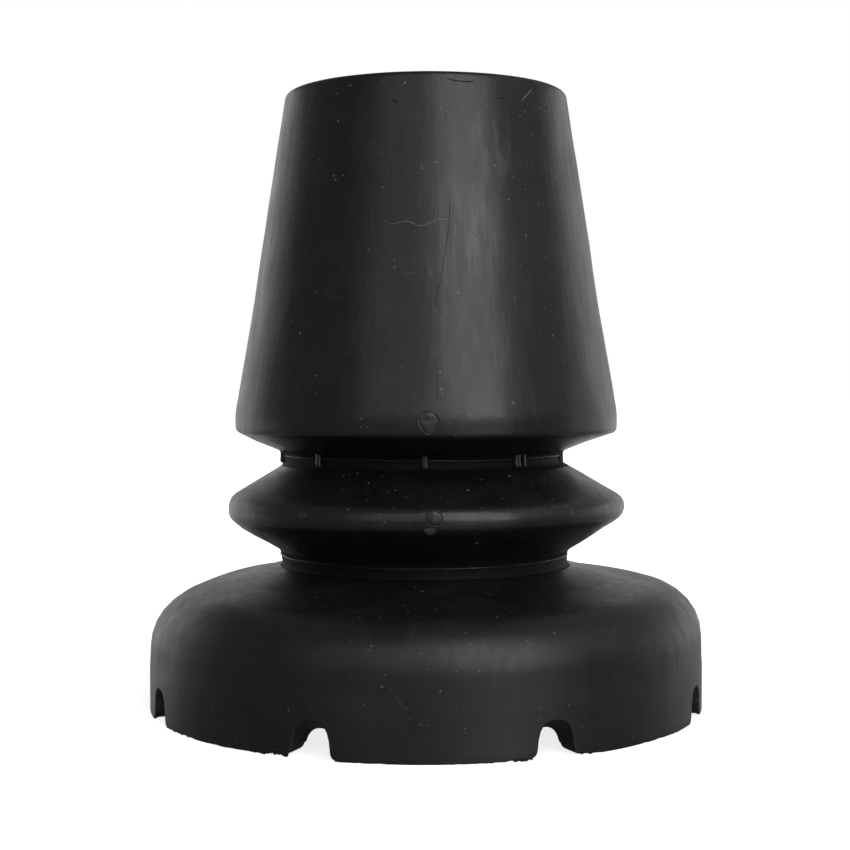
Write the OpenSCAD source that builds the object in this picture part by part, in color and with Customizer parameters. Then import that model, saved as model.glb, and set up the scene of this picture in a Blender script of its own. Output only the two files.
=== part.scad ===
// Rubber tip for a walking stick, moulded in one piece.
// A tapered socket stands on an ankle with one bellows ring, and the ankle
// stands on a wide hollow base with grip notches round its rim.
// The origin is the centre of the rim on the floor, and the socket points up.

/* [Base] */
// Diameter of the base at its side wall
base_d = 57; // [50:0.5:75]
// Height at which the base's top meets the ankle
base_h = 14.6; // [13:0.1:20]
// Fall of the base's top from the ankle to the shoulder, in degrees
base_fall = 15; // [5:1:18]
// Rounding of the shoulder between the base's top and its side
shoulder_r = 5.5; // [1:0.1:6]
// Thickness of the base's top
deck_t = 3.2; // [2.5:0.1:4.5]
// Width of the rim that rests on the floor
rim_w = 2.5; // [2:0.1:5]
// Lean of the rim's inner wall, which lets the moulding leave its mould
rim_lean = 4; // [1:0.5:8]
// Rounding of the hollow under the shoulder
hollow_r = 3; // [1:0.1:4]
// Rounding of the rim's two edges on the floor
rim_edge_r = 0.3; // [0.1:0.05:0.8]

/* [Grip notches] */
// Number of notches round the rim
notch_n = 8; // [4:1:12]
// Width of a notch on the floor
notch_w = 3.8; // [2.5:0.1:6]
// Width of a notch just below its ceiling
notch_top_w = 3.2; // [2:0.1:5]
// Height of a notch at the outer face
notch_h = 3.4; // [2:0.1:4.5]
// Rounding of the two corners of its ceiling
notch_corner_r = 1.1; // [0.3:0.1:1.5]
// Fall of its ceiling towards the hollow, in degrees
notch_fall = 20; // [0:1:25]
// Rounding of the rim's ends where they stand beside a notch
notch_lip_r = 0.55; // [0.2:0.05:1]
// Turn of the whole ring of notches about the axis, in degrees
notch_turn = 1.7; // [0:0.1:22]

/* [Ankle] */
// Diameter of the groove between the base and the ring
low_neck_d = 29.8; // [27:0.1:32]
// Height of that groove's floor
low_neck_h = 1.45; // [1:0.05:3]
// Diameter of the bellows ring
ring_d = 41; // [37:0.1:46]
// Rise of the ring's lower flank
ring_low_rise = 3.6; // [3:0.05:5]
// Height of the ring's rim
ring_rim_h = 1.75; // [1:0.05:3]
// Rise of the ring's upper flank
ring_top_rise = 3.55; // [3:0.05:5]
// Diameter of the groove between the ring and the socket
top_neck_d = 29; // [26:0.1:32]
// Height of that groove's floor
top_neck_h = 1.25; // [1:0.05:3]
// Thickness of the ankle's wall
ankle_t = 3; // [2.4:0.1:3.6]
// Rounding of the ring's two edges
ring_edge_r = 1.05; // [0.3:0.05:1.5]
// Rounding of the grooves' corners
neck_r = 0.25; // [0.1:0.05:1]
// Rounding between the lower groove and the base's top
foot_r = 0.4; // [0.1:0.05:1]
// Rounding of the folds inside the ankle
fold_r = 1.2; // [0.5:0.1:2]
// Height of the mould's parting line above the floor of each groove
line_h = 0.1; // [0.05:0.05:0.2]
// Width of a nub that joins the two flanks across the upper groove
nub_w = 0.8; // [0.4:0.1:1.5]
// Directions of the nubs, in degrees from the front
nub_at = [-43, 1, 39, 137, 181, 225];

/* [Socket] */
// Diameter of the stick that the socket takes
bore_d = 19; // [16:0.1:21]
// Depth of the bore
bore_depth = 33; // [20:0.5:34]
// Height of the tapered socket above its band
socket_h = 32.8; // [30:0.1:60]
// Outer diameter at the mouth
mouth_d = 28.9; // [27:0.1:34]
// Diameter of the band at the socket's foot
band_d = 39.5; // [36:0.1:44]
// Height of the band
band_h = 1.9; // [1:0.05:4]
// Rise of the socket's underside from the groove to the band
band_rise = 2.1; // [1:0.05:4]
// Rounding of the mouth's outer edge and of the band's lower edge
mouth_edge_r = 0.6; // [0.2:0.05:1.5]
// Widening of the bore at its mouth, which leads the stick in
lead_in = 0.8; // [0.2:0.1:2]
// Rounding at the bore's floor
bore_floor_r = 1; // [0.3:0.1:3]
// Thickness of the web between the bore and the hollow ankle
web_t = 4; // [2:0.1:6]

/* [Moulding pips] */
// Diameter of a pip
pip_d = 2.2; // [1:0.1:3]
// Height of a pip above the surface that carries it
pip_h = 0.1; // [0.05:0.05:0.4]
// Directions of the pips on the ring, in degrees from the front
ring_pip_at = [-36, 2, 39];
// Directions of the pips on the socket's band, in degrees from the front
band_pip_at = [1];
// Height of those pips above the band's lower edge
band_pip_z = 1.5; // [0.5:0.1:3]

/* [Hidden] */
base_r = base_d / 2;
low_neck_z = base_h + low_neck_h;
ring_low_z = low_neck_z + ring_low_rise;
ring_top_z = ring_low_z + ring_rim_h;
top_neck_z = ring_top_z + ring_top_rise;
skirt_z = top_neck_z + top_neck_h;
band_z = skirt_z + band_rise;
socket_z = band_z + band_h;
top_z = socket_z + socket_h;
bore_z = top_z - bore_depth;
// Height of the base's top where it would meet the side wall
side_z = base_h - (base_r - low_neck_d / 2) * tan(base_fall);
// Length that a cutter runs on past the face it opens
past = 2;
// Angle of one step of a rounding
arc_step = 9;
$fn = 120;

function unit(v) = v / norm(v);

// Points of the rounding at corner b between a and c, no larger than its sides
function rounding(a, b, c, r) =
    let (
        to_a = unit(a - b),
        to_c = unit(c - b),
        half = acos(max(-1, min(1, to_a * to_c))) / 2,
        side = min(norm(a - b), norm(c - b)),
        reach = min(r / tan(half), 0.48 * side),
        arc_r = reach * tan(half),
        centre = b + unit(to_a + to_c) * arc_r / sin(half),
        from = b + to_a * reach - centre,
        till = b + to_c * reach - centre,
        start = atan2(from[1], from[0]),
        turn = atan2(cross(from, till), from * till),
        steps = max(2, ceil(abs(turn) / arc_step))
    )
    [for (i = [0:steps])
        centre + arc_r * [cos(start + turn * i / steps), sin(start + turn * i / steps)]];

// Closed outline through corners [radius, height, rounding], 0 for a sharp one
function outline(corners) =
    let (n = len(corners))
    [for (i = [0:n - 1])
        let (
            before = corners[(i + n - 1) % n],
            here = corners[i],
            after = corners[(i + 1) % n],
            b = [here[0], here[1]]
        )
        each here[2] > 0
            ? rounding([before[0], before[1]], b, [after[0], after[1]], here[2])
            : [b]];

// The parting line on a groove's floor of radius r, between two heights
function parting(r, low, high) =
    let (middle = (low + high) / 2)
    [[r, middle - line_h, 0], [r + line_h, middle, 0], [r, middle + line_h, 0]];

// The outside of the moulding, from the floor up to the mouth
module outer_section() {
    polygon(outline([
        [0, 0, 0],
        [base_r, 0, rim_edge_r],
        [base_r, side_z, shoulder_r],
        [low_neck_d / 2, base_h, foot_r],
        each parting(low_neck_d / 2, base_h, low_neck_z),
        [low_neck_d / 2, low_neck_z, neck_r],
        [ring_d / 2, ring_low_z, ring_edge_r],
        [ring_d / 2, ring_top_z, ring_edge_r],
        [top_neck_d / 2, top_neck_z, neck_r],
        each parting(top_neck_d / 2, top_neck_z, skirt_z),
        [top_neck_d / 2, skirt_z, neck_r],
        [band_d / 2, band_z, mouth_edge_r],
        [band_d / 2, socket_z, 0],
        [mouth_d / 2, top_z, mouth_edge_r],
        [0, top_z, 0]
    ]));
}

// The bore for the stick, with its lead-in and its rounded floor
module bore_section() {
    polygon(outline([
        [0, bore_z, 0],
        [bore_d / 2, bore_z, bore_floor_r],
        [bore_d / 2, top_z - lead_in, 0],
        [bore_d / 2 + lead_in, top_z, 0],
        [bore_d / 2 + lead_in, top_z + past, 0],
        [0, top_z + past, 0]
    ]));
}

// The hollow under the base and in the ankle. Each wall keeps its thickness:
// the hollow's faces are those of the outside, moved in at right angles.
module hollow_section() {
    deck_drop = deck_t / cos(base_fall);
    throat_r = low_neck_d / 2 - ankle_t;
    top_throat_r = top_neck_d / 2 - ankle_t;
    rim_in = base_r - rim_w;
    lean = tan(rim_lean);
    fall = tan(base_fall);
    // Height of the deck's underside above the axis, if it ran on that far
    deck_z = base_h + low_neck_d / 2 * fall - deck_drop;
    corner_z = (deck_z - rim_in * fall) / (1 - lean * fall);
    low_slope = ring_low_rise / ((ring_d - low_neck_d) / 2);
    top_slope = ring_top_rise / ((ring_d - top_neck_d) / 2);
    // Heights above the axis of the two flanks inside the ring
    low_face_z = low_neck_z - low_neck_d / 2 * low_slope + ankle_t * norm([1, low_slope]);
    top_face_z = ring_top_z + ring_d / 2 * top_slope - ankle_t * norm([1, top_slope]);
    fold_x = (top_face_z - low_face_z) / (low_slope + top_slope);
    polygon(outline([
        [0, -past, 0],
        [rim_in + past * lean + rim_edge_r, -past, 0],
        [rim_in + rim_edge_r, 0, 0],
        [rim_in, rim_edge_r, 0],
        [rim_in - corner_z * lean, corner_z, hollow_r],
        [throat_r, deck_z - throat_r * fall, fold_r],
        [throat_r, low_face_z + throat_r * low_slope, fold_r],
        [fold_x, low_face_z + fold_x * low_slope, fold_r],
        [top_throat_r, top_face_z - top_throat_r * top_slope, fold_r],
        [top_throat_r, bore_z - web_t, fold_r],
        [0, bore_z - web_t, 0]
    ]));
}

// One notch at the front of the rim. Its ceiling passes through the outer face
// at notch_h and falls towards the hollow.
module notch() {
    reach = rim_w + past;
    foot = notch_h + 2 * past;
    spread = (notch_w - notch_top_w) / 2 / notch_h;
    translate([0, -base_r, notch_h])
        rotate([90 - notch_fall, 0, 0])
            translate([0, 0, -reach])
                linear_extrude(height = reach + past)
                    polygon(outline([
                        [-notch_top_w / 2 - foot * spread, -foot, 0],
                        [notch_top_w / 2 + foot * spread, -foot, 0],
                        [notch_top_w / 2, 0, notch_corner_r],
                        [-notch_top_w / 2, 0, notch_corner_r]
                    ]));
    translate([0, past - base_r + rim_w, 0])
        rotate([90, 0, 0])
            linear_extrude(height = rim_w + 2 * past)
                lips();
}

// The floor end of a notch: the space beside two rounded ends of the rim
module lips() {
    wall = notch_w / 2 - notch_lip_r * 0.3;
    right = [for (a = [0:15:90]) [wall + notch_lip_r * (1 - cos(a)), notch_lip_r * (1 - sin(a))]];
    left = [for (a = [90:-15:0]) [-wall - notch_lip_r * (1 - cos(a)), notch_lip_r * (1 - sin(a))]];
    polygon(concat(right, [[wall + notch_lip_r, -past], [-wall - notch_lip_r, -past]], left));
}

// A pip on a wall of radius r, at height z and in a direction from the front
module pip(direction, r, z) {
    rotate([0, 0, direction])
        translate([0, -r + pip_d / 2, z])
            rotate([90, 0, 0])
                cylinder(d = pip_d, h = pip_d / 2 + pip_h);
}

// A nub in the upper groove, in a direction from the front. It stands on the
// ring's flank and runs up into the socket's underside.
module nub(direction) {
    sunk = nub_w / 4;
    rotate([0, 0, direction])
        translate([0, -top_neck_d / 2 + nub_w / 4, top_neck_z - sunk])
            cylinder(d = nub_w, h = top_neck_h + 2 * sunk, $fn = 24);
}

module cane_tip() {
    color("#2b2b2b")
        union() {
            for (direction = nub_at)
                nub(direction);
            difference() {
                rotate_extrude()
                    difference() {
                        outer_section();
                        bore_section();
                        hollow_section();
                    }
                for (i = [0:notch_n - 1])
                    rotate([0, 0, notch_turn + (i + 0.5) * 360 / notch_n])
                        notch();
            }
            for (direction = ring_pip_at)
                pip(direction, ring_d / 2, (ring_low_z + ring_top_z) / 2);
            for (direction = band_pip_at)
                pip(direction, band_d / 2, band_z + band_pip_z);
        }
}

cane_tip();
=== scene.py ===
import math

import bpy
import numpy as np
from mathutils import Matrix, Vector, noise


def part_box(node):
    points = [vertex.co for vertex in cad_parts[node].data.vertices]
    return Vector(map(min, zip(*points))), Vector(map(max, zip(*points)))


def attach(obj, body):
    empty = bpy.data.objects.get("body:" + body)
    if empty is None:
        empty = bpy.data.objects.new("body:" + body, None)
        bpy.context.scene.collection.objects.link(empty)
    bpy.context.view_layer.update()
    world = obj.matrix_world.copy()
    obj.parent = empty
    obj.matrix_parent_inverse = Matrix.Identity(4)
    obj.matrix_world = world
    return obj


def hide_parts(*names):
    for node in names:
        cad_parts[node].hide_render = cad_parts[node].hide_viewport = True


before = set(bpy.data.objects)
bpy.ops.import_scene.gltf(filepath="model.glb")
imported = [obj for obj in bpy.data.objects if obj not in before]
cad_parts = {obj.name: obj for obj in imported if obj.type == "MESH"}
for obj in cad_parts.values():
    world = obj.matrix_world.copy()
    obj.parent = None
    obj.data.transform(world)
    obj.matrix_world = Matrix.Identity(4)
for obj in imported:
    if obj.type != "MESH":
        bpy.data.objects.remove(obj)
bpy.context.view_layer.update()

# Camera
# The tip was photographed from close by, a little above its middle and looking
# slightly down, so its base looks much wider than its mouth.
MM = 0.001
view_angle = math.radians(29.5)
camera_distance = 168.3 * MM
camera_height = 33.9 * MM
camera_pitch = math.radians(1.72)
axis_left_of_view = 0.1 * MM

camera = bpy.data.objects.new("camera", bpy.data.cameras.new("camera"))
camera.data.sensor_width = 36
camera.data.lens = camera.data.sensor_width / 2 / math.tan(view_angle / 2)
camera.location = (0, -camera_distance, camera_height)
aim = Vector((-axis_left_of_view, 0, camera_height - camera_distance * math.tan(camera_pitch)))
camera.rotation_euler = (aim - camera.location).to_track_quat("-Z", "Y").to_euler()
camera.data.clip_start = 0.01
bpy.context.scene.collection.objects.link(camera)
bpy.context.scene.camera = camera

# The moulding
# The whole tip is one moulding of black rubber: a socket for the stick, a
# bellows ankle and a hollow base. Its skin is one closed mesh, laid row by row
# along the section and turned about the axis.
tip_low, tip_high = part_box("cane_tip")
base_r = (tip_high[0] - tip_low[0]) / 2
top_z = tip_high[2]

base_h = 14.45 * MM
base_fall = math.radians(15)
crown_r, crown_z, crown_fillet = 19.85 * MM, 13.2 * MM, 6 * MM
side_z = 11.9 * MM
shoulder_r = 5.75 * MM
deck_t = 3.2 * MM
rim_w = 2.5 * MM
rim_lean = math.radians(4)
hollow_r = 3 * MM

low_neck_r = 14.9 * MM
low_neck_h = 1.6 * MM
ring_r = 20.5 * MM
ring_low_rise = 3.6 * MM
ring_rim_h = 1.75 * MM
ring_top_rise = 3.55 * MM
top_neck_r = 14.5 * MM
top_neck_h = 1.25 * MM
ankle_t = 3 * MM
ring_edge_r = 1.4 * MM
neck_fillet = 0.9 * MM
groove_floor_r = 0.8 * MM
foot_fillet = 0.4 * MM
fold_r = 1.2 * MM

bore_r = 9.5 * MM
bore_depth = 33 * MM
mouth_r = 14.45 * MM
band_r = 19.75 * MM
band_h = 1.9 * MM
band_rise = 2.1 * MM
band_top_r = 7 * MM
mouth_edge_r = 0.6 * MM
lead_in = 0.8 * MM
lead_in_edge_r = 0.3 * MM
bore_floor_r = 1 * MM
web_t = 4 * MM
middle_r = 0.5 * MM

low_neck_z = base_h + low_neck_h
ring_low_z = low_neck_z + ring_low_rise
ring_top_z = ring_low_z + ring_rim_h
top_neck_z = ring_top_z + ring_top_rise
skirt_z = top_neck_z + top_neck_h
band_z = skirt_z + band_rise
socket_z = band_z + band_h
bore_z = top_z - bore_depth
rim_rows_z = 4.6 * MM
outside_step, inside_step = 1.45 * MM, 3 * MM


def rounded_run(corners, longest):
    """Points (radius, height) along corners (radius, height, rounding), straight stretches cut up."""
    # The most that a rounding takes of a side, where the next corner is rounded too or isn't
    shared_part, whole_part = 0.48, 0.95
    points = [np.array(corners[0][:2])]
    for before, here, after in zip(corners, corners[1:], corners[2:]):
        a, b, c = (np.array(corner[:2]) for corner in (before, here, after))
        back, on = (a - b) / np.linalg.norm(a - b), (c - b) / np.linalg.norm(c - b)
        half = math.acos(np.clip(back @ on, -1, 1)) / 2
        shares = [shared_part if corner[2] else whole_part for corner in (before, after)]
        reach = min(
            here[2] / math.tan(half), shares[0] * np.linalg.norm(a - b), shares[1] * np.linalg.norm(c - b)
        )
        radius = reach * math.tan(half)
        if radius <= 0:
            points.append(b)
            continue
        centre = b + (back + on) / np.linalg.norm(back + on) * radius / math.sin(half)
        start, end = b + back * reach - centre, b + on * reach - centre
        first = math.atan2(start[1], start[0])
        turn = math.atan2(start[0] * end[1] - start[1] * end[0], start @ end)
        steps_per_radian = 2 + 1.1 * math.sqrt(radius / MM)
        steps = max(3, round(abs(turn) * steps_per_radian))
        for i in range(steps + 1):
            angle = first + turn * i / steps
            points.append(centre + radius * np.array([math.cos(angle), math.sin(angle)]))
    points.append(np.array(corners[-1][:2]))
    run = [points[0]]
    for point in points[1:]:
        pieces = max(1, math.ceil(np.linalg.norm(point - run[-1]) / longest))
        start = run[-1]
        run += [start + (point - start) * (i + 1) / pieces for i in range(pieces)]
    return run


outside = rounded_run([
    (middle_r, bore_z, 0),
    (bore_r, bore_z, bore_floor_r),
    (bore_r, top_z - lead_in, lead_in_edge_r),
    (bore_r + lead_in, top_z, lead_in_edge_r),
    (mouth_r, top_z, mouth_edge_r),
    (band_r, socket_z, band_top_r),
    (band_r, band_z, mouth_edge_r),
    (top_neck_r, skirt_z, neck_fillet),
    (top_neck_r, top_neck_z, groove_floor_r),
    (ring_r, ring_top_z, ring_edge_r),
    (ring_r, ring_low_z, ring_edge_r),
    (low_neck_r, low_neck_z, neck_fillet),
    (low_neck_r, base_h, foot_fillet),
    (crown_r, crown_z, crown_fillet),
    (base_r, side_z, shoulder_r),
    (base_r, rim_rows_z, 0),
], outside_step)

throat_r = low_neck_r - ankle_t
top_throat_r = top_neck_r - ankle_t
rim_in_r = base_r - rim_w
deck_z = base_h + low_neck_r * math.tan(base_fall) - deck_t / math.cos(base_fall)
corner_z = (deck_z - rim_in_r * math.tan(base_fall)) / (1 - math.tan(rim_lean) * math.tan(base_fall))
low_slope = ring_low_rise / (ring_r - low_neck_r)
top_slope = ring_top_rise / (ring_r - top_neck_r)
low_face_z = low_neck_z - low_neck_r * low_slope + ankle_t * math.hypot(1, low_slope)
top_face_z = ring_top_z + ring_r * top_slope - ankle_t * math.hypot(1, top_slope)
fold_x = (top_face_z - low_face_z) / (low_slope + top_slope)
hollow = rounded_run([
    (rim_in_r - rim_rows_z * math.tan(rim_lean), rim_rows_z, 0),
    (rim_in_r - corner_z * math.tan(rim_lean), corner_z, hollow_r),
    (throat_r, deck_z - throat_r * math.tan(base_fall), fold_r),
    (throat_r, low_face_z + throat_r * low_slope, fold_r),
    (fold_x, low_face_z + fold_x * low_slope, fold_r),
    (top_throat_r, top_face_z - top_throat_r * top_slope, fold_r),
    (top_throat_r, bore_z - web_t, fold_r),
    (middle_r, bore_z - web_t, 0),
], inside_step)

# Grip notches
# Eight notches cut the rim into tread blocks, so that water and grit can get
# out. They are part of the moulding. Each is a small arch whose ceiling falls
# towards the hollow, and the blocks are rounded where they end beside it.
notch_n = 8
notch_w = 3.65 * MM
notch_top_w = 3.0 * MM
notch_h = 3.4 * MM
notch_corner_r = 1.35 * MM
notch_fall = math.radians(24)
notch_lip_r = 0.7 * MM
notch_turn = math.radians(1.5)
notch_taper = 0.25
outer_edge_r = 0.12 * MM
inner_edge_r = 0.15 * MM
foot_wave, foot_wave_start = 0.1 * MM, 1 * MM
broad_waves, short_waves = 9, 60

# Each block lifts a little where it ends beside a notch: height and length of
# the lift on the left and on the right of each notch, from the front right one on.
block_lifts = np.array([
    [[0.16, 4], [0.12, 3]], [[0.04, 3], [0.2, 4]], [[0.15, 4], [0.08, 3]], [[0.22, 5], [0.1, 3]],
    [[0.1, 3], [0.14, 4]], [[0.18, 4], [0.1, 3]], [[0.12, 4], [0.05, 3]], [[0.3, 7], [0.04, 2]],
]) * MM

spread = (notch_w - notch_top_w) / 2 / notch_h
arc_x = notch_w / 2 - spread * (notch_h - notch_corner_r) - notch_corner_r * math.hypot(1, spread)
wall_top_x = arc_x + notch_corner_r / math.hypot(1, spread)
foot_x = notch_w / 2
lip_x = foot_x + notch_lip_r
block_x = base_r * math.sin(math.pi / notch_n)


def arch_height(x):
    """Height of the notch's walls and ceiling at a distance x from its middle, at the outer face."""
    x = abs(x)
    if x <= arc_x:
        return notch_h
    if x <= wall_top_x:
        return notch_h - notch_corner_r + math.sqrt(notch_corner_r**2 - (x - arc_x) ** 2)
    return notch_lip_r + (foot_x - x) / spread


def block_height(x, lift, length):
    """Height of the tread block's foot at a distance x from the middle of the notch."""
    beyond = abs(x) - lip_x
    if beyond < 0:
        inside = min(-beyond, notch_lip_r)
        return lift + notch_lip_r - math.sqrt(notch_lip_r**2 - inside**2)
    return lift * max(0, 1 - beyond / length) ** 1.5


def ease(x):
    """From 0 to 1 with a soft start and end, as x goes from 0 to 1."""
    x = np.clip(x, 0, 1)
    return x * x * (3 - 2 * x)


# Columns of points from the middle of a notch to the middle of a block: along
# the arch's round corner, down its wall, round the lip and along the block
corner_turns, lip_turns = (15, 30, 45, 60, 73, 83), (12, 35, 60, 90)
wall_columns, block_columns = 4, 17
wall_h = arch_height(wall_top_x) - notch_lip_r
half_columns = [0, arc_x]
half_columns += [arc_x + notch_corner_r * math.sin(math.radians(turn)) for turn in corner_turns]
half_columns += [foot_x - spread * wall_h * (1 - i / wall_columns) for i in range(1, wall_columns + 1)]
half_columns += [lip_x - notch_lip_r * math.cos(math.radians(turn)) for turn in lip_turns]
half_columns += [lip_x + (block_x - lip_x) * i / block_columns for i in range(1, block_columns + 1)]
columns = np.array([-x for x in half_columns[:0:-1]] + half_columns[:-1])
per_notch = len(columns)
column_count = per_notch * notch_n
pitch = 2 * math.pi / notch_n
starts = notch_turn + (np.arange(notch_n) + 0.5) * pitch
arches = np.array([arch_height(x) for x in columns])
blocks = np.array([[block_height(x, *lifts[int(x > 0)]) for x in columns] for lifts in block_lifts])
for notch, start in enumerate(starts):
    for i, x in enumerate(columns):
        turn = start + x / base_r
        spot = Vector((math.sin(turn), math.cos(turn), 0))
        wave = noise.noise(spot * broad_waves) + 0.7 * noise.noise(spot * short_waves) + 0.1
        blocks[notch, i] += foot_wave * max(0, wave) * ease((abs(x) - foot_x) / foot_wave_start)


def rim_row(depth, offset):
    """Angles and heights of the rim's foot, depth behind the outer face and offset into the rubber."""
    heights = np.maximum(blocks, arches - depth * math.tan(notch_fall))
    narrow = notch_taper * depth / rim_w * np.minimum(heights / notch_h, 1)
    across = columns * (1 - narrow * (np.abs(columns) < lip_x))
    run, rise = np.gradient(across, axis=1), np.gradient(heights, axis=1)
    length = np.hypot(run, rise)
    across = across - rise / length * offset
    heights = heights + run / length * offset
    share = np.clip((np.abs(across) - lip_x) / (block_x - lip_x), 0, 1)
    across = across * (1 - share * depth / base_r)
    angles = starts[:, None] + np.arcsin(across / (base_r - depth))
    return angles.ravel(), heights.ravel()


turns = np.linspace(-pitch / 2, pitch / 2, per_notch, endpoint=False)
even = (starts[:, None] + turns + pitch / per_notch / 2).ravel()
rows = []
for radius, height in outside:
    rows.append((np.full(column_count, radius), even, np.full(column_count, height)))

wall_steps = 6
angles, feet = rim_row(0, outer_edge_r)
for i in range(1, wall_steps + 1):
    heights = rim_rows_z + (feet - rim_rows_z) * i / wall_steps
    mix = ease(i / (wall_steps - 2))
    rows.append((np.full(column_count, base_r), even + (angles - even) * mix, heights))
for turn in (22, 45, 68):
    depth = outer_edge_r * (1 - math.cos(math.radians(turn)))
    angles, heights = rim_row(depth, outer_edge_r * (1 - math.sin(math.radians(turn))))
    rows.append((np.full(column_count, base_r - depth), angles, heights))
for depth in (outer_edge_r, 0.35 * rim_w, 0.65 * rim_w, rim_w - inner_edge_r):
    angles, heights = rim_row(depth, 0)
    rows.append((np.full(column_count, base_r - depth), angles, heights))
for turn in (60, 30, 0):
    depth = rim_w - inner_edge_r * (1 - math.cos(math.radians(turn)))
    angles, heights = rim_row(depth, inner_edge_r * (1 - math.sin(math.radians(turn))))
    rows.append((np.full(column_count, base_r - depth), angles, heights))
feet = heights
for i in range(1, wall_steps):
    heights = feet + (rim_rows_z - feet) * i / wall_steps
    radii = rim_in_r - np.maximum(heights - inner_edge_r, 0) * math.tan(rim_lean)
    mix = ease(i / (wall_steps - 1))
    rows.append((radii, angles + (even - angles) * mix, heights))
for radius, height in hollow:
    rows.append((np.full(column_count, radius), even, np.full(column_count, height)))

points = np.concatenate([
    np.stack([radii * np.sin(angles), -radii * np.cos(angles), heights], axis=1)
    for radii, angles, heights in rows
])

# The rubber set unevenly as it cooled. The mouth is cut on a slight slant, the
# socket has a faint waist, the grooves and the ring have each moved a little,
# and the base's shoulder is lower on the left. The base is nowhere wider than
# its mould, and the rest is in places a hair fuller.
mouth_slant, slant_z = 0.17 * MM, 50 * MM
waist_depth, waist_z, waist_length = 0.12 * MM, 42 * MM, 8 * MM
groove_move, groove_low, groove_high, groove_soft = -0.43 * MM, 24.5 * MM, 28.1 * MM, 0.8 * MM
flank_swell, flank_z, flank_length = 0.2 * MM, 18 * MM, 1 * MM
swell, swell_z, swell_soft = 0.1 * MM, 14 * MM, 2 * MM
shoulder_drop, drop_top_z, drop_soft = 1.25 * MM, 15.5 * MM, 4 * MM
drop_start_x, drop_width = -17.5 * MM, 12.5 * MM
skin_start_r, skin_soft, rim_soft = bore_r + 0.9 * MM, 1 * MM, 1.5 * MM

# Sideways moves below the upper groove: how far, at what height, fading over what length
moves = [
    (0.08 * MM, 20.9 * MM, 1.3 * MM),
    (-0.4 * MM, 18.4 * MM, 1.2 * MM),
    (-0.2 * MM, 15.6 * MM, 1.3 * MM),
]

# Unevenness of the skin: how deep and how long its dents are
dents = [(0.1 * MM, 14 * MM), (0.07 * MM, 5 * MM), (0.03 * MM, 2.4 * MM)]


def settle(points):
    """Points of the mould, moved to where the rubber set."""
    points = points.copy()
    x, y, z = points.T.copy()
    out = np.hypot(x, y) + 1e-9
    skin = ease((out - skin_start_r) / skin_soft) * ease((z - rim_rows_z) / rim_soft)
    shrink = waist_depth * np.exp(-(((z - waist_z) / waist_length) ** 2)) * skin
    for depth, length in dents:
        rough = np.array([noise.noise(Vector(point) / length) for point in points.tolist()])
        shrink += depth * np.clip(0.5 + 0.8 * rough, 0, 1) * skin
    shrink -= swell * skin * ease((z - swell_z) / swell_soft)
    shrink -= flank_swell * skin * np.exp(-(((z - flank_z) / flank_length) ** 2))
    points[:, 0] *= 1 - shrink / out
    points[:, 1] *= 1 - shrink / out
    points[:, 2] -= mouth_slant * (0.5 - 0.5 * x / mouth_r) * ease((z - slant_z) / (top_z - slant_z))
    left = ease((drop_start_x - x) / drop_width)
    points[:, 2] -= shoulder_drop * left * ease((z - rim_rows_z) / drop_soft) * (z < drop_top_z)
    in_groove = ease((z - groove_low) / groove_soft) * ease((groove_high - z) / groove_soft)
    points[:, 0] += groove_move * in_groove
    for move, middle, length in moves:
        points[:, 0] += move * np.exp(-(((z - middle) / length) ** 2))
    return points


points = settle(points)

faces = []
for row in range(len(rows) - 1):
    for column in range(column_count):
        after = (column + 1) % column_count
        low, high = row * column_count, (row + 1) * column_count
        faces.append((low + column, high + column, high + after, low + after))
last = (len(rows) - 1) * column_count
faces.append(tuple(range(column_count)))
faces.append(tuple(range(last + column_count - 1, last - 1, -1)))

# The rubber is black with a dull gloss, duller on the base. It carries faint
# upright drag lines from the mould on the socket, a pale patch at its front that
# is partly haze and partly a painted highlight, and dust and a few short scuffs
# everywhere.
rubber = bpy.data.materials.new("black_rubber")
rubber.use_nodes = True
tree = rubber.node_tree


def step(kind, inputs, **settings):
    """A node with its settings, and with values or other nodes' outputs at its inputs."""
    made = tree.nodes.new(kind)
    for name, value in settings.items():
        setattr(made, name, value)
    for key, value in inputs.items():
        if isinstance(value, bpy.types.NodeSocket):
            tree.links.new(value, made.inputs[key])
        else:
            made.inputs[key].default_value = value
    return made


def maths(operation, *values):
    return step("ShaderNodeMath", dict(enumerate(values)), operation=operation).outputs[0]


def fit(value, low, high, bottom=0.0, top=1.0):
    """The value, with low..high taken to bottom..top and no further."""
    limits = {"From Min": low, "From Max": high, "To Min": bottom, "To Max": top}
    return step("ShaderNodeMapRange", {"Value": value, **limits}).outputs[0]


def blend(share, first, second):
    return step("ShaderNodeMix", {0: share, 6: first, 7: second}, data_type="RGBA").outputs[2]


def grain(vector, scale, detail):
    inputs = {"Vector": vector, "Scale": scale, "Detail": detail, "Roughness": 0.6}
    return step("ShaderNodeTexNoise", inputs).outputs[0]


def in_mm():
    """The place on the piece, in millimetres."""
    spot = step("ShaderNodeTexCoord", {}).outputs["Object"]
    return step("ShaderNodeVectorMath", {0: spot, "Scale": 1 / MM}, operation="SCALE").outputs[0]


# Where the socket begins and the base ends, as heights in millimetres
socket_from, socket_full = 29.0, 32.0
base_until, base_full = 15.5, 12.5
place = in_mm()
height = step("ShaderNodeSeparateXYZ", {0: place}).outputs["Z"]
on_socket = fit(height, socket_from, socket_full)
on_base = fit(height, base_until, base_full)

mottle = grain(place, 0.3, 3.0)
patches = grain(place, 0.11, 2.0)
fine = grain(place, 4.5, 1.0)
upright = step("ShaderNodeVectorMath", {0: place, 1: (1.0, 1.0, 0.05)}, operation="MULTIPLY").outputs[0]
drags = grain(upright, 1.3, 3.0)


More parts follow.
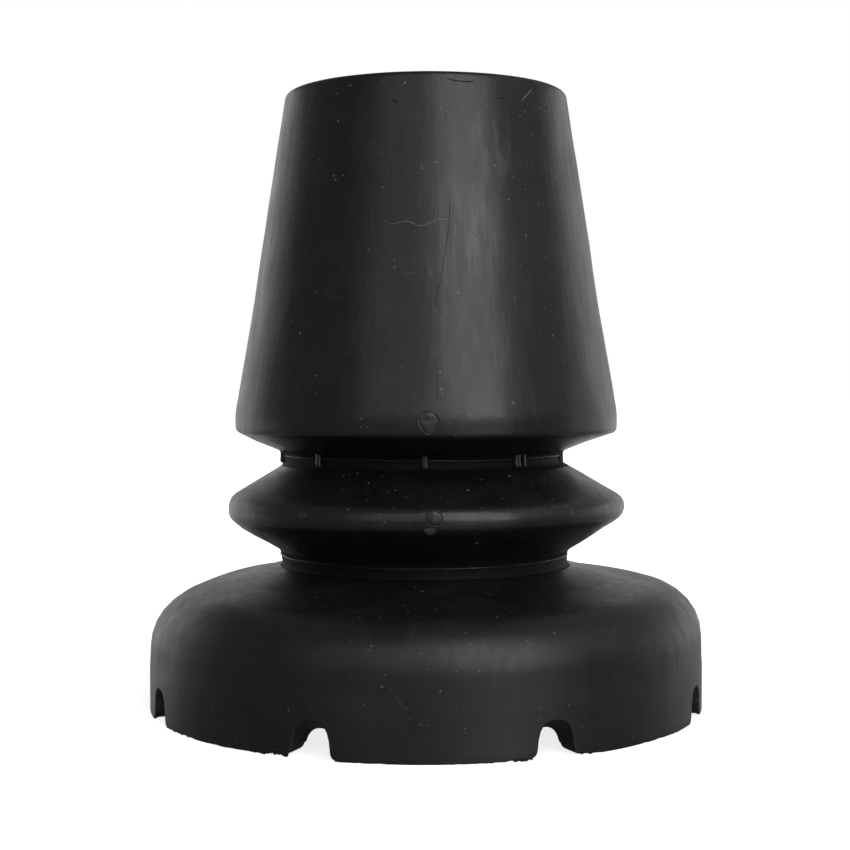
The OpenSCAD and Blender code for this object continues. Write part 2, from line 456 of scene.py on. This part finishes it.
def pale_patch_share(middle, reach):
    """Share of a pale patch round a middle, fading out at its reach to each side, all in mm."""
    off = step("ShaderNodeVectorMath", {0: place, 1: middle}, operation="SUBTRACT").outputs[0]
    off = step("ShaderNodeVectorMath", {0: off, 1: reach}, operation="DIVIDE").outputs[0]
    return fit(step("ShaderNodeVectorMath", {0: off}, operation="LENGTH").outputs["Value"], 1.0, 0.3)


# Pale patches on the socket's front, beside the crease and a lesser one above it: partly haze, partly a
# painted highlight over the key lamp's reflection
main_pale_patch = pale_patch_share(middle=(4.2, -17.0, 47.0), reach=(3.6, 14, 7))
lesser_pale_patch = pale_patch_share(middle=(6.2, -14.0, 56.0), reach=(2.2, 14, 5))
haze_and_highlight = maths("MAXIMUM", main_pale_patch, lesser_pale_patch)
haze_and_highlight = maths("MULTIPLY", haze_and_highlight, fit(grain(upright, 0.8, 4.0), 0.44, 0.6))

# Dust is ragged: the scatter of its specks is bent by a fine grain
ragged = step("ShaderNodeTexNoise", {"Vector": place, "Scale": 3.0, "Detail": 1.0}).outputs["Color"]
ragged = step("ShaderNodeVectorMath", {0: ragged, "Scale": 0.45}, operation="SCALE").outputs[0]
ragged = step("ShaderNodeVectorMath", {0: ragged, 1: place}, operation="ADD").outputs[0]


def specks(scale, share, largest, offset):
    """Dust: specks at some of the points of a scatter, each with its own size in mm."""
    moved = step("ShaderNodeVectorMath", {0: ragged, 1: offset}, operation="ADD").outputs[0]
    cells = step("ShaderNodeTexVoronoi", {"Vector": moved, "Scale": scale})
    luck = step("ShaderNodeSeparateColor", {0: cells.outputs["Color"]}).outputs[0]
    size = fit(luck, 1 - share, 1.0, 0.0, largest * scale)
    return maths("LESS_THAN", cells.outputs["Distance"], size)


def dashes(slant, twist, rarity):
    """Short scuffs that run one way, where a stretched grain is at its highest."""
    turned = step("ShaderNodeMapping", {0: place, "Rotation": (twist, math.radians(slant), 0.3)}).outputs[0]
    drawn = step("ShaderNodeVectorMath", {0: turned, 1: (0.22, 2.2, 2.2)}, operation="MULTIPLY").outputs[0]
    return fit(grain(drawn, 1.0, 1.0), rarity, rarity + 0.03)


coarse_dust = specks(scale=0.6, share=0.35, largest=0.16, offset=(0, 0, 0))
fine_dust = specks(scale=1.6, share=0.5, largest=0.08, offset=(7, 3, 5))
dust = maths("MAXIMUM", coarse_dust, fine_dust)
rising_scuffs = dashes(slant=35, twist=0.2, rarity=0.75)
falling_scuffs = dashes(slant=-50, twist=-0.3, rarity=0.76)
scuffs = maths("MAXIMUM", rising_scuffs, falling_scuffs)

black, lesser_black = (0.006, 0.006, 0.0062, 1), (0.0115, 0.0112, 0.0107, 1)
haze_and_highlight_grey, scuff_grey, dust_grey = (0.11, 0.11, 0.103, 1), (0.07, 0.07, 0.067, 1), (0.2, 0.2, 0.19, 1)
colour = blend(fit(mottle, 0.35, 0.7), black, lesser_black)
# Painted highlight: the pale patch, partly haze, lightens the socket's colour where the key lamp's
# reflection falls
colour = blend(maths("MULTIPLY", haze_and_highlight, 0.6), colour, haze_and_highlight_grey)
colour = blend(maths("MULTIPLY", scuffs, 0.35), colour, scuff_grey)
colour = blend(maths("MULTIPLY", dust, 0.8), colour, dust_grey)
gloss = maths("ADD", fit(patches, 0.3, 0.7, 0.26, 0.36), fit(drags, 0.3, 0.7, -0.05, 0.06))
gloss = maths("ADD", gloss, maths("MULTIPLY", on_base, 0.08))
gloss = maths("ADD", gloss, maths("MULTIPLY", dust, 0.4))
relief = maths("MULTIPLY_ADD", mottle, 0.02, maths("MULTIPLY", fine, 0.003))
relief = maths("ADD", relief, maths("MULTIPLY", maths("MULTIPLY", drags, on_socket), 0.022))
bump = step("ShaderNodeBump", {"Height": relief, "Distance": MM, "Strength": 1.0}).outputs[0]

skin = tree.nodes["Principled BSDF"]
tree.links.new(colour, skin.inputs["Base Color"])
tree.links.new(gloss, skin.inputs["Roughness"])
tree.links.new(bump, skin.inputs["Normal"])


def moulded(name, points, faces, material=rubber):
    """A piece of the moulding's skin, or of what lies on it."""
    mesh = bpy.data.meshes.new(name)
    mesh.from_pydata(np.asarray(points).tolist(), [], faces)
    mesh.validate()
    mesh.shade_smooth()
    mesh.materials.append(material)
    made = bpy.data.objects.new(name, mesh)
    bpy.context.scene.collection.objects.link(made)
    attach(made, "root")
    return made


tip = moulded("moulding", points, faces)
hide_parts("cane_tip")

# Deep in the grooves the rubber is a shaded copy: matt, darker and with a weak reflection, as painted shade
# for the recesses
shaded_groove_rubber = bpy.data.materials.new("groove_painted_shade")
shaded_groove_rubber.use_nodes = True
tree = shaded_groove_rubber.node_tree
streaks = grain(in_mm(), 1.2, 2.0)
skin = tree.nodes["Principled BSDF"]
# Painted shade: a darker colour for the rubber deep in the grooves
groove_shade_colour = blend(fit(streaks, 0.35, 0.65), (0.004, 0.004, 0.004, 1), (0.007, 0.007, 0.007, 1))
tree.links.new(groove_shade_colour, skin.inputs["Base Color"])
skin.inputs["Roughness"].default_value = 0.6
skin.inputs["Specular IOR Level"].default_value = 0.12
tip.data.materials.append(shaded_groove_rubber)
groove_shade_r, grooves_low, grooves_high = 15.2 * MM, 13 * MM, 28 * MM
for row, (start, end) in enumerate(zip(outside, outside[1:])):
    radius, z = (start + end) / 2
    if radius < groove_shade_r and grooves_low < z < grooves_high:
        for face in range(row * column_count, (row + 1) * column_count):
            tip.data.polygons[face].material_index = 1

# Vent marks
# A round plug closed each of the mould's vents. It left a dull, uneven pad with
# a worn edge on the socket's band and on the ring.
dull_rubber = bpy.data.materials.new("dull_rubber")
dull_rubber.use_nodes = True
tree = dull_rubber.node_tree
blotches = grain(in_mm(), 0.9, 3.0)
dull_colour = blend(fit(blotches, 0.35, 0.65), (0.005, 0.005, 0.005, 1), (0.03, 0.03, 0.029, 1))
skin = tree.nodes["Principled BSDF"]
tree.links.new(dull_colour, skin.inputs["Base Color"])
tree.links.new(fit(blotches, 0.35, 0.65, 0.6, 0.4), skin.inputs["Roughness"])

vent_section = np.array([
    (1.12, -1.2), (1.12, -0.08), (1.06, -0.03), (0.99, -0.08), (0.9, -0.1), (0.82, -0.05), (0.7, -0.01),
    (0.5, 0), (0.3, 0), (0.1, 0)
]) * MM
vent_steps = 48
vent_wobble = 0.16
vent_unevenness, vent_grain = 0.06 * MM, 0.45 * MM


def vent(name, azimuth, z, face_r, width, height, foot=1):
    """A pad facing outward at face_r from the axis, its section scaled by width, height and, below, foot."""
    turn = math.radians(azimuth)
    outward = np.array([math.sin(turn), -math.cos(turn), 0])
    across = np.array([math.cos(turn), math.sin(turn), 0])
    up = np.array([0, 0, 1])
    centre = settle((outward * face_r + up * z)[None, :])[0]
    points = []
    for radius, rise in vent_section:
        for i in range(vent_steps):
            angle = 2 * math.pi * i / vent_steps
            drawn = foot if angle > math.pi else 1
            edge = across * math.cos(angle) * width + up * math.sin(angle) * height * drawn
            wobble = 1 + vent_wobble * noise.noise(Vector(edge) * 1.6 + Vector(outward) * 5)
            spot = centre + radius * wobble * edge
            worn = vent_unevenness * noise.noise(Vector(spot) / vent_grain)
            points.append(spot + outward * (rise + worn))
    faces = []
    for ring in range(len(vent_section) - 1):
        for i in range(vent_steps):
            after = (i + 1) % vent_steps
            low, high = ring * vent_steps, (ring + 1) * vent_steps
            faces.append((low + i, low + after, high + after, high + i))
    last = (len(vent_section) - 1) * vent_steps
    faces.append(tuple(range(last, last + vent_steps)))
    return moulded(name, points, faces, dull_rubber)


vent("band_vent", azimuth=0.6, z=29.75 * MM, face_r=band_r + 0.09 * MM, width=0.95, height=0.95, foot=1.2)
vent("ring_vent", azimuth=1.9, z=20.85 * MM, face_r=ring_r + 0.06 * MM, width=0.75, height=0.7)
vent("low_ring_vent", azimuth=1.2, z=19.75 * MM, face_r=ring_r - 0.03 * MM, width=0.5, height=0.35)
vent("left_ring_vent", azimuth=-35, z=20.7 * MM, face_r=ring_r - 0.01 * MM, width=0.5, height=0.5)

# Oval mark
# A plain oval line stands a hair above the ring's upper edge, to the right of
# the front.
mouth_at = max(range(len(outside)), key=lambda i: (outside[i][1], i))
profile = np.array(outside[mouth_at:])[::-1]
oval_azimuth, oval_z = math.radians(38.5), 21.0 * MM
oval_half_w, oval_half_h = 1.5 * MM, 0.75 * MM
oval_line_half_w, oval_line_h = 0.1 * MM, 0.05 * MM
oval_steps = 96
bead_section = np.array([(-1, -0.4), (-0.75, 0.5), (-0.3, 0.95), (0.3, 0.95), (0.75, 0.5), (1, -0.4)])


def skin_radius(z):
    """Radius of the mould's outside at a height."""
    return np.interp(z, profile[:, 1], profile[:, 0])


def bead(name, azimuths, heights, half_width, rises):
    """A closed raised line that follows the outside, half_width to each side and as high as rises."""
    radii = skin_radius(heights)
    path = np.stack([radii * np.sin(azimuths), -radii * np.cos(azimuths), heights], axis=1)
    along = np.roll(path, -1, axis=0) - np.roll(path, 1, axis=0)
    along /= np.linalg.norm(along, axis=1)[:, None]
    near = 0.05 * MM
    slope = (skin_radius(heights + near) - skin_radius(heights - near)) / (2 * near)
    outward = np.stack([np.sin(azimuths), -np.cos(azimuths), -slope], axis=1)
    outward /= np.linalg.norm(outward, axis=1)[:, None]
    across = np.cross(outward, along)
    points = np.stack([
        path + across * half_width * a + outward * (rises * b)[:, None] for a, b in bead_section
    ], axis=1)
    count, width = len(path), len(bead_section)
    faces = [
        (i * width + j, i * width + j + 1, (i + 1) % count * width + j + 1, (i + 1) % count * width + j)
        for i in range(count) for j in range(width - 1)
    ]
    return moulded(name, settle(points.reshape(-1, 3)), faces)


turns = np.linspace(0, 2 * math.pi, oval_steps, endpoint=False)
oval_azimuths = oval_azimuth + oval_half_w / ring_r * np.cos(turns)
oval_heights = oval_z + oval_half_h * np.sin(turns)
bead("ring_oval", oval_azimuths, oval_heights, oval_line_half_w, np.full(oval_steps, oval_line_h))

# Parting lines
# The mould's two halves met in the grooves. They left a thin broken line round
# the floor of each groove, a little above its middle.
line_half_w, line_h, line_wander = 0.07 * MM, 0.09 * MM, 0.08 * MM
line_steps, long_waves, short_breaks = 480, 2.5, 5
turns = np.linspace(0, 2 * math.pi, line_steps, endpoint=False)
for name, z in (("low_parting_line", 15.55 * MM), ("top_parting_line", 25.85 * MM)):
    wander = [noise.noise(Vector((math.sin(t), math.cos(t), z / MM)) * long_waves) for t in turns]
    breaks = [noise.noise(Vector((math.sin(t), math.cos(t), -z / MM)) * short_breaks) for t in turns]
    rises = line_h * np.clip(0.5 + 2 * np.array(breaks), 0.05, 1)
    bead(name, turns, z + line_wander * np.array(wander), line_half_w, rises)

# Groove nubs
# Rubber filled short channels between the mould's halves. It stands as small
# upright nubs in the upper groove, and one of them is split in two.
nub_steps, nub_half_depth = 14, 0.34 * MM

# Azimuth in degrees and width in mm of each nub, from the left round to the back
nubs = [
    (-77, 0.8), (-43.5, 0.6), (1.2, 0.75), (39.5, 0.8), (43, 0.35), (77.5, 0.8),
    (137, 0.8), (181, 0.7), (225, 0.8),
]

# Share of the neck's height, and the nub's size there against its full size
nub_levels = [(0.15, 0.95), (0.3, 1.0), (0.5, 0.95), (0.7, 0.9), (0.9, 0.9), (1.05, 1.0), (1.25, 1.1)]
points, faces = [], []
for azimuth, width in nubs:
    turn = math.radians(azimuth)
    outward = np.array([math.sin(turn), -math.cos(turn), 0])
    across = np.array([math.cos(turn), math.sin(turn), 0])
    for level, size in nub_levels:
        z = top_neck_z + top_neck_h * level
        for i in range(nub_steps):
            angle = 2 * math.pi * i / nub_steps
            square = (abs(math.cos(angle)) ** 4 + abs(math.sin(angle)) ** 4) ** -0.25
            aside = math.cos(angle) * square * size * width / 2 * MM
            out = math.sin(angle) * square * size * nub_half_depth
            points.append(outward * (top_neck_r + out) + across * aside + np.array([0, 0, z]))
for nub in range(len(nubs)):
    for level in range(len(nub_levels) - 1):
        for i in range(nub_steps):
            after = (i + 1) % nub_steps
            low = (nub * len(nub_levels) + level) * nub_steps
            faces.append((low + i, low + after, low + nub_steps + after, low + nub_steps + i))
moulded("groove_nubs", settle(np.array(points)), faces)

# Rim flash
# A thin torn fin of rubber hangs from the outer edge of each tread block, where
# the mould's base plate met its ring.
flash_steps = 170
flash_reach, flash_low = 0.12 * MM, 0.01 * MM
flash_start = (lip_x - 0.2 * MM) / base_r
right, left = columns > lip_x, columns < -lip_x
points, faces = [], []
for notch in range(notch_n):
    after = (notch + 1) % notch_n
    block_at = np.concatenate([columns[right] / base_r, columns[left] / base_r + pitch])
    block_foot = np.concatenate([blocks[notch][right], blocks[after][left]])
    first = len(points)
    for i in range(flash_steps + 1):
        at = flash_start + (pitch - 2 * flash_start) * i / flash_steps
        foot = np.interp(at, block_at, block_foot)
        turn = starts[notch] + at
        where = Vector((math.sin(turn), math.cos(turn), 2))
        torn = 0.5 + 0.9 * noise.noise(where * 38)
        torn += 0.6 * noise.noise(where * 95) + 0.6 * noise.noise(where * 6)
        tip_z = flash_low + (foot + flash_reach) * min(1, max(0, torn))
        for radius, z in (
            (base_r - 0.01 * MM, foot + 0.45 * MM), (base_r - 0.005 * MM, tip_z + 0.03 * MM),
            (base_r - 0.06 * MM, tip_z), (base_r - 0.35 * MM, foot + 0.02 * MM),
        ):
            points.append((radius * math.sin(turn), -radius * math.cos(turn), z))
    for i in range(flash_steps):
        for j in range(3):
            low = first + i * 4 + j
            faces.append((low, low + 1, low + 5, low + 4))
moulded("rim_flash", points, faces)

# Wear
# Marks of use on the socket: a pale hair of lint that lies across its front, dark
# strips of painted shade for a crease and a nick cut into the rubber and for three
# pits below the mouth, and pale scars where the skin was scraped. Each is a thin
# strip along its own path.
lint = bpy.data.materials.new("pale_lint")
# Painted shade: the crease, nick and pits are dark strips laid on the skin, darker than the rubber, for the
# shade inside them
shade_in_cuts = bpy.data.materials.new("painted_cut_shade")
scar = bpy.data.materials.new("scraped_rubber")

# Each material's shade where its fibres are thin and thick, and its roughness
for material, thin, thick, roughness in (
    (lint, 0.12, 0.24, 0.7), (shade_in_cuts, 0.002, 0.004, 0.8), (scar, 0.07, 0.2, 0.55),
):
    material.use_nodes = True
    tree = material.node_tree
    fibres = grain(in_mm(), 3.0, 2.0)
    skin = tree.nodes["Principled BSDF"]
    shade = blend(fit(fibres, 0.35, 0.65), (thin, thin, thin, 1), (thick, thick, thick * 0.95, 1))
    tree.links.new(shade, skin.inputs["Base Color"])
    skin.inputs["Roughness"].default_value = roughness

# Each mark's material, width and path: across the front and up from the floor, in mm
marks = {
    "hair": (lint, 0.1, [
        (-4.0, 48.5), (-3.1, 48.15), (-2.35, 48.4), (-1.7, 48.5), (-0.9, 48.05), (-0.3, 47.95), (0.4, 48.3),
        (1.2, 48.6), (2.0, 48.6), (2.8, 48.4), (3.6, 48.05), (4.3, 47.6), (4.75, 47.05),
    ]),
    "crease": (shade_in_cuts, 0.07, [(2.2, 51.4), (2.25, 48.3), (1.85, 46), (1.5, 43.5), (1.1, 41.6), (0.85, 40.4)]),
    "nick": (shade_in_cuts, 0.14, [(1.95, 62.3), (2.3, 62.1), (3.2, 61.95), (4.6, 62.0)]),
    "left_pit": (shade_in_cuts, 0.36, [(-3.15, 60.2), (-2.75, 59.92), (-2.6, 59.97)]),
    "middle_pit": (shade_in_cuts, 0.2, [(6.9, 60.6), (7.6, 60.6)]),
    "right_pit": (shade_in_cuts, 0.3, [(11.75, 60.4), (11.9, 60.2)]),
    "top_scar": (scar, 0.16, [(10.3, 61.9), (9.8, 61.2), (9.2, 60.5)]),
    "hooked_scar": (scar, 0.12, [(1.3, 59.7), (1.35, 59.2), (1.6, 58.4)]),
    "haze_scar": (scar, 0.35, [(5.4, 46.45), (5.5, 46.2)]),
    "long_scar": (scar, 0.12, [(0.1, 44.3), (0.3, 43.8), (0.45, 43.2)]),
    "cross_scar": (scar, 0.08, [(-2.3, 43.6), (-1.1, 43.5)]),
}

# A strip's section: share of its half width to the side, and height in mm above the skin
strip_section = np.array([(-1, -0.06), (-0.6, 0.02), (0, 0.045), (0.6, 0.02), (1, -0.06)])
strip_step = 0.2 * MM
strip_end = 0.05
for name, (material, width, path) in marks.items():
    path = np.array(path) * MM
    along = np.concatenate([[0], np.cumsum(np.hypot(*np.diff(path, axis=0).T))])
    at = np.linspace(0, along[-1], max(5, round(along[-1] / strip_step)))
    x, z = np.interp(at, along, path[:, 0]), np.interp(at, along, path[:, 1])
    for _ in range(2):
        x[1:-1], z[1:-1] = (x[:-2] + x[1:-1] + x[2:]) / 3, (z[:-2] + z[1:-1] + z[2:]) / 3
    run, rise = np.gradient(x), np.gradient(z)
    length = np.hypot(run, rise)
    fullness = np.sin(np.linspace(strip_end, math.pi - strip_end, len(at)))
    half = width / 2 * MM * np.sqrt(np.clip(fullness * 2, 0, 1))
    points = []
    for side, height in strip_section:
        across = x - rise / length * half * side
        up = z + run / length * half * side
        radii = skin_radius(up)
        out = radii + height * MM
        turn = np.arcsin(across / radii)
        points.append(np.stack([out * np.sin(turn), -out * np.cos(turn), up], axis=1))
    count, width_points = len(at), len(strip_section)
    faces = [
        (j * count + i, (j + 1) * count + i, (j + 1) * count + i + 1, j * count + i + 1)
        for j in range(width_points - 1) for i in range(count - 1)
    ]
    moulded(name, settle(np.concatenate(points)), faces, material)

# Studio
# A white floor of glossy acrylic, a tall soft lamp to the right of the camera
# with a bright card at its foot, weaker lamps on both sides, and a low white
# sheet behind the tip, which draws the pale edges along its sides.
floor_mesh = bpy.data.meshes.new("floor")
floor_half = 3.0
floor_corners = [(x * floor_half, y * floor_half, 0) for x, y in ((-1, -1), (1, -1), (1, 1), (-1, 1))]
floor_mesh.from_pydata(floor_corners, [], [(0, 1, 2, 3)])
floor = bpy.data.objects.new("floor", floor_mesh)
bpy.context.scene.collection.objects.link(floor)

# Share of the white page in what the rubber mirrors, before the tip and behind
# it, with the places in Y between which the share grows
page_before, page_behind = 0.06, 0.45
before_y, behind_y = -0.02, 0.1

# The page glows a little less close to the tip: how far out it starts and stops growing
glow_near, glow_far = 0.04, 0.12
glow_low, glow_full = 0.82, 1.0
page = bpy.data.materials.new("white_page")
page.use_nodes = True
tree = page.node_tree
tree.nodes.clear()
paper = step("ShaderNodeBsdfDiffuse", {"Color": (0.8, 0.8, 0.8, 1)}).outputs[0]
where = step("ShaderNodeNewGeometry", {}).outputs["Position"]
far_out = step("ShaderNodeVectorMath", {0: where}, operation="LENGTH").outputs["Value"]
brightness = fit(far_out, glow_near, glow_far, glow_low, glow_full)
glow = step("ShaderNodeEmission", {"Strength": brightness}).outputs[0]
lit = step("ShaderNodeAddShader", {0: paper, 1: glow}).outputs[0]
acrylic = step(
    "ShaderNodeBsdfPrincipled", {"Base Color": (0.12, 0.12, 0.12, 1), "Roughness": 0.06, "IOR": 1.9}
).outputs[0]
path = step("ShaderNodeLightPath", {})
mirrored = maths("MAXIMUM", path.outputs["Is Glossy Ray"], path.outputs["Is Transmission Ray"])
depth = step("ShaderNodeSeparateXYZ", {0: where}).outputs["Y"]
in_gloss = maths("MULTIPLY", mirrored, fit(depth, before_y, behind_y, page_before, page_behind))
seen = maths("MAXIMUM", path.outputs["Is Camera Ray"], in_gloss)
step("ShaderNodeOutputMaterial", {0: step("ShaderNodeMixShader", {0: seen, 1: acrylic, 2: lit}).outputs[0]})
floor_mesh.materials.append(page)

# The sheet's brightness from its side edges, at 0, to straight behind the tip, at 1
sheet_stops = [(0.15, 0.0), (0.28, 0.25), (0.5, 0.65), (0.68, 0.9), (0.82, 0.8), (0.93, 0.5), (1.0, 0.42)]
world = bpy.data.worlds.new("studio")
bpy.context.scene.world = world
world.use_nodes = True
tree = world.node_tree
tree.nodes.clear()
direction = step("ShaderNodeSeparateXYZ", {0: step("ShaderNodeTexCoord", {}).outputs["Generated"]})
behind = maths("MULTIPLY_ADD", direction.outputs["X"], 0.12, direction.outputs["Y"])
sheet = step("ShaderNodeValToRGB", {0: behind})
while len(sheet.color_ramp.elements) < len(sheet_stops):
    sheet.color_ramp.elements.new(0.5)
for stop, (position, level) in zip(sheet.color_ramp.elements, sheet_stops):
    stop.position = position
    stop.color = (level, level, level * 0.96, 1)
low_enough = fit(direction.outputs["Z"], 0.31, 0.4, 1.0, 0.0)
path = step("ShaderNodeLightPath", {})
mirrored = maths("MAXIMUM", path.outputs["Is Glossy Ray"], path.outputs["Is Transmission Ray"])
strength = maths("MULTIPLY", low_enough, fit(mirrored, 0.0, 1.0, 0.4, 1.0))
sheet_light = step("ShaderNodeBackground", {"Color": sheet.outputs[0], "Strength": strength}).outputs[0]
overhead = fit(direction.outputs["Z"], 0.4, 0.6)
right_of_it = maths("MULTIPLY", fit(direction.outputs["X"], 0.0, 0.6, 0.0, 0.16), overhead)
room = maths("ADD", fit(direction.outputs["Z"], 0.5, 0.85, 0.18, 0.12), right_of_it)
room_light = step("ShaderNodeBackground", {"Color": (1, 1, 1, 1), "Strength": room}).outputs[0]
both = step("ShaderNodeAddShader", {0: sheet_light, 1: room_light}).outputs[0]
plain = step("ShaderNodeBackground", {"Color": (1, 1, 1, 1), "Strength": 1.0}).outputs[0]
mixed = step("ShaderNodeMixShader", {0: path.outputs["Is Camera Ray"], 1: both, 2: plain}).outputs[0]
step("ShaderNodeOutputWorld", {0: mixed})


def softbox(name, azimuth, distance, width, low, high, radiance):
    """A soft lamp from low to high, azimuth degrees to the right of the camera."""
    data = bpy.data.lights.new(name, "AREA")
    data.shape = "RECTANGLE"
    data.size, data.size_y = width, high - low
    data.energy = radiance * math.pi * width * (high - low)
    lamp = bpy.data.objects.new(name, data)
    turn = math.radians(azimuth)
    lamp.location = (distance * math.sin(turn), -distance * math.cos(turn), (low + high) / 2)
    lamp.rotation_euler = (math.pi / 2, 0, turn)
    bpy.context.scene.collection.objects.link(lamp)


softbox("key", azimuth=29, distance=0.8, width=0.66, low=0.11, high=1.5, radiance=2.35)
softbox("low_card", azimuth=33, distance=0.78, width=0.34, low=0.1, high=0.18, radiance=2.4)
softbox("fill", azimuth=-20, distance=0.82, width=0.6, low=0.1, high=1.2, radiance=0.55)
softbox("side", azimuth=74, distance=0.8, width=0.5, low=0.1, high=1.2, radiance=0.26)

bpy.context.scene.view_settings.view_transform = "Standard"
